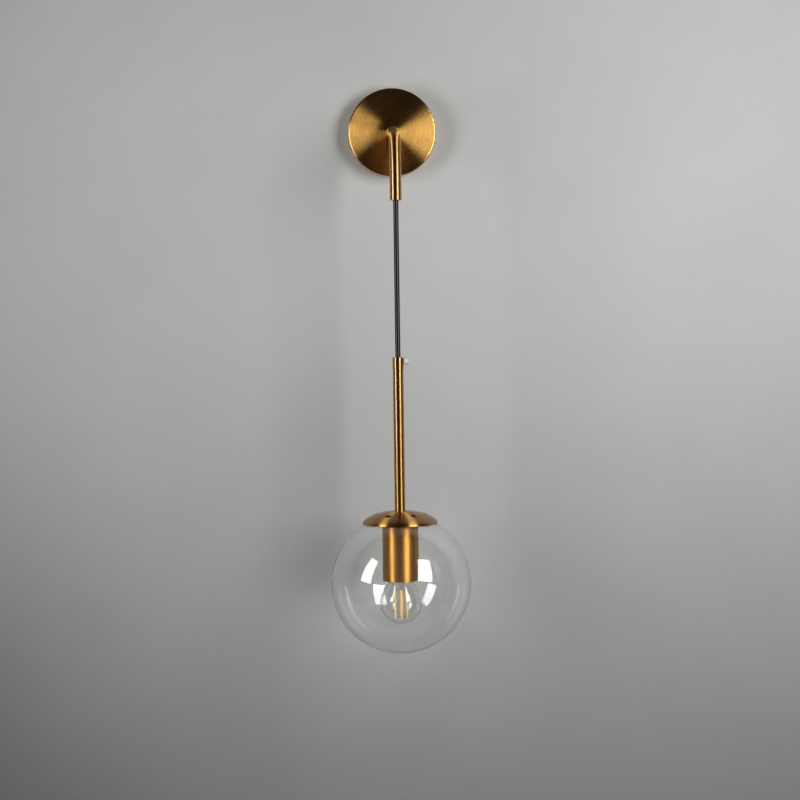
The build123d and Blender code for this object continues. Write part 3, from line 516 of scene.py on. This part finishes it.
def bulb_outline(offset):
    """Outline of the bulb, set in by an offset, from its tip up to the neck's end."""
    ball_r = BULB_R - offset
    neck_r = BULB_NECK_R - offset
    tilt = math.radians(BULB_CONE_TILT)
    ball = arc(BULB_Z, ball_r, -90, BULB_CONE_TILT, 72)
    touch_r, touch_z = ball[-1]
    foot_z = BULB_Z + (ball_r - neck_r * math.cos(tilt)) / math.sin(tilt)
    cone = [(touch_r + (neck_r - touch_r) * t, touch_z + (foot_z - touch_z) * t) for t in BULB_CONE_STEPS]
    return ball + cone + [(neck_r, foot_z + BULB_NECK_RUN), (neck_r, bulb_high.z)]


def bulb_envelope():
    """Round bulb drawn up in a cone to its neck."""
    outside = bulb_outline(0)
    inside = bulb_outline(BULB_WALL)[::-1]
    bulb = turn("bulb_envelope", outside + inside, smooth_angle=60)
    dress(bulb, "bulb_glass")
    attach(bulb, "bulb")
    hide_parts("bulb_glass")


def drop_rod():
    """Thin tube with eased ends."""
    low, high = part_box("drop_rod")
    outer = (high.x - low.x) / 2
    inner = outer - ROD_WALL
    rod = turn("drop_rod_tube", [
        (inner, low.z), (outer - EDGE, low.z), (outer, low.z + EDGE), (outer, high.z - EDGE),
        (outer - EDGE, high.z), (inner, high.z), (inner, low.z)])
    dress(rod, "satin_brass")
    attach(rod, "pendant")
    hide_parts("drop_rod")


def cord_neck():
    """The small ball of cord that flexes in the arm's mouth."""
    low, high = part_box("cord_bend")
    outer = (high.x - low.x) / 2
    middle = (low.z + high.z) / 2
    side = arc(middle, (high.z - low.z) / 2, -90, 90, 24)
    neck = turn("cord_neck", [(min(r, outer), z) for r, z in side], steps=48, smooth_angle=60)
    dress(neck, "cord_sheath")
    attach(neck, "cord_swivel")
    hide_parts("cord_bend")


def thread_ridge(root, bottom):
    """Half-round ridge wound up in a right-handed thread."""
    section = []
    for i in range(THREAD_SECTION_STEPS + 1):
        a = math.radians(-90 + 180 * i / THREAD_SECTION_STEPS)
        out = root - THREAD_SUNK + (THREAD_DEPTH + THREAD_SUNK) * math.cos(a)
        section.append((out, 0, bottom + THREAD_HALF_WIDTH * math.sin(a)))
    ridge = start_profile("thread_ridge", section)
    bpy.ops.object.mode_set(mode="OBJECT")
    wind = ridge.modifiers.new("wind", "SCREW")
    wind.screw_offset = THREAD_PITCH
    wind.iterations = THREAD_TURNS
    wind.steps = wind.render_steps = THREAD_STEPS
    bpy.ops.object.modifier_apply(modifier=wind.name)
    bpy.ops.object.mode_set(mode="EDIT")
    bpy.ops.mesh.select_all(action="SELECT")
    bpy.ops.mesh.remove_doubles(threshold=1e-6)
    bpy.ops.mesh.fill_holes(sides=0)
    bpy.ops.mesh.select_all(action="SELECT")
    bpy.ops.mesh.normals_make_consistent(inside=False)
    bpy.ops.transform.translate(value=(0, HANG_Y, 0))
    bpy.ops.object.mode_set(mode="OBJECT")
    return ridge


def bulb_cap():
    """Rolled screw cap: plain skirt, thread and sloping shoulder."""
    low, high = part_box("bulb_cap")
    crest = (high.x - low.x) / 2
    root = crest - THREAD_DEPTH
    top_r = root - BULB_CAP_SHOULDER * BULB_CAP_SHOULDER_SLOPE
    skirt = low.z + BULB_CAP_SKIRT
    neck_in = crest - BULB_CAP_SHEET
    shell = turn("bulb_cap_rolled", [
        (top_r - BULB_CAP_SHEET, high.z), (top_r, high.z), (root, high.z - BULB_CAP_SHOULDER),
        (root, skirt + THREAD_DEPTH), (crest, skirt), (crest, low.z + EDGE), (crest - EDGE, low.z),
        (neck_in, low.z), (neck_in, skirt), (root - BULB_CAP_SHEET, skirt + THREAD_DEPTH),
        (root - BULB_CAP_SHEET, high.z - BULB_CAP_SHOULDER),
        (top_r - BULB_CAP_SHEET, high.z - BULB_CAP_SHEET), (top_r - BULB_CAP_SHEET, high.z)])
    cap = join([shell, thread_ridge(root, skirt + THREAD_DEPTH)])
    smooth(cap, 40)
    dress(cap, SLOT_OF["bulb_cap"])
    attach(cap, "bulb")
    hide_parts("bulb_cap")


def filaments():
    """Coated rods with rounded ends, set upright in a ring."""
    low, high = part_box("filaments")
    middle_z = (low.z + high.z) / 2
    circle_r = (high.x - low.x) / 2 - FILAMENT_R
    sticks = []
    for i in range(FILAMENT_COUNT):
        turned = math.radians(FILAMENT_FIRST_ANGLE + 360 * i / FILAMENT_COUNT)
        deselect()
        bpy.ops.mesh.primitive_cylinder_add(
            vertices=24, radius=FILAMENT_R, depth=high.z - low.z,
            location=(circle_r * math.cos(turned), HANG_Y + circle_r * math.sin(turned), middle_z))
        stick = bpy.context.object
        bpy.ops.object.mode_set(mode="EDIT")
        pick(stick, lambda middle, normal: abs(normal.z) > 0.9)
        bpy.ops.mesh.region_to_loop()
        bpy.ops.mesh.bevel(offset=FILAMENT_ROUNDING, segments=4, affect="EDGES")
        settle(stick)
        sticks.append(stick)
    rods = join(sticks)
    rods.name = "filament_rods"
    smooth(rods, 50)
    dress(rods, "filament")
    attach(rods, "bulb")
    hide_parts("filaments")


carried_over()
hanging_cord()
cord_neck()
drop_rod()
glass_globe()
bulb_envelope()
bulb_cap()
filaments()


# Room

WALL_SIZE = 7.0
WALL_GAP = 0.0003
FLOOR_SIZE = 7.0
FLOOR_Z = -2.1

deselect()
bpy.ops.mesh.primitive_plane_add(size=WALL_SIZE, location=(0, WALL_GAP, 0), rotation=(math.pi / 2, 0, 0))
wall = bpy.context.object
wall.name = "wall"
wall.data.materials.append(wall_paint())
deselect()
bpy.ops.mesh.primitive_plane_add(size=FLOOR_SIZE, location=(0, -FLOOR_SIZE / 2, FLOOR_Z))
floor = bpy.context.object
floor.name = "floor"
floor.data.materials.append(floor_paint())


# Light: two softboxes in front, one on each side, and a narrow lamp behind for the canopy's back

WORLD_COLOUR = (0.9, 0.93, 1.0, 1)
WORLD_STRENGTH = 0.02


def softbox(name, centre, aim, width, height, roll, energy, beam=128):
    """Rectangular lamp, turned from its centre to an aiming point and rolled about its own axis."""
    lamp = bpy.data.lights.new(name, "AREA")
    lamp.shape = "RECTANGLE"
    lamp.size = width
    lamp.size_y = height
    lamp.spread = math.radians(beam)
    lamp.energy = energy
    holder = bpy.data.objects.new(name, lamp)
    facing = (Vector(aim) - Vector(centre)).to_track_quat("-Z", "Y").to_matrix().to_4x4()
    holder.matrix_world = Matrix.Translation(centre) @ facing @ Matrix.Rotation(math.radians(roll), 4, "Z")
    bpy.context.scene.collection.objects.link(holder)


softbox("left_softbox", centre=(-0.727, -0.574, -0.070), aim=(0.158, -0.207, -0.048),
        width=0.270, height=0.649, roll=-6.4, energy=3.05)
softbox("right_softbox", centre=(0.699, -0.903, 0.049), aim=(0.130, 0.135, -0.020),
        width=0.460, height=0.768, roll=-10.3, energy=6.36)
softbox("back_lamp", centre=(0, 2.0, 0), aim=(0, 0, 0),
        width=0.06, height=0.06, roll=0, energy=0.003, beam=3)

world = bpy.data.worlds.new("room_light")
world.use_nodes = True
backdrop = world.node_tree.nodes["Background"]
backdrop.inputs["Color"].default_value = WORLD_COLOUR
backdrop.inputs["Strength"].default_value = WORLD_STRENGTH
bpy.context.scene.world = world

# Camera

SENSOR_WIDTH = 36.0
FRAME_PIXELS = 800
FOCAL_PIXELS = 1902.6
CAMERA_PLACE = (-0.066, -2.1282, -0.1982)
CAMERA_YAW = -1.918
CAMERA_PITCH = 2.648
CAMERA_ROLL = -0.795

camera_data = bpy.data.cameras.new("camera")
camera_data.sensor_width = SENSOR_WIDTH
camera_data.lens = SENSOR_WIDTH * FOCAL_PIXELS / FRAME_PIXELS
camera = bpy.data.objects.new("camera", camera_data)
bpy.context.scene.collection.objects.link(camera)
camera.matrix_world = (Matrix.Translation(CAMERA_PLACE)
                       @ Matrix.Rotation(math.radians(CAMERA_YAW), 4, "Z")
                       @ Matrix.Rotation(math.radians(90 - CAMERA_PITCH), 4, "X")
                       @ Matrix.Rotation(math.radians(CAMERA_ROLL), 4, "Z"))
bpy.context.scene.camera = camera
bpy.context.scene.view_settings.view_transform = "Standard"
